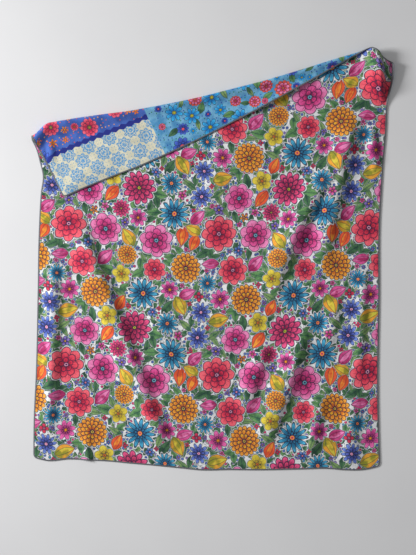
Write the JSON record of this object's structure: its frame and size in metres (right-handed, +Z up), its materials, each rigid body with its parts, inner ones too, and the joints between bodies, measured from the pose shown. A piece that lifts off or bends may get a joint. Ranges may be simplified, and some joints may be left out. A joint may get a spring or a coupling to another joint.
{
  "type": "throw blanket",
  "caption": "Plush throw blanket printed on both faces, laid out flat with its top corner turned down in a long soft fold and an overlocked edge all round.",
  "frame": {"origin": "on the flat underside near the middle of the cloth, in the plane of the surface that it lies on", "axes": "+Z up, out of the surface; X across the cloth from its left side to its right; +Y up its length, towards the turned corner"},
  "size_m": [1.3243, 1.5433, 0.0316],
  "materials": {
    "printed_plush": "short napped polyester plush with a dense many-coloured flower print on both faces",
    "charcoal_thread": "spun polyester overlocking thread"
  },
  "bodies": {
    "root": {"throw_cloth": "printed_plush", "overlocked_edge": "charcoal_thread"}
  },
  "joints": []
}
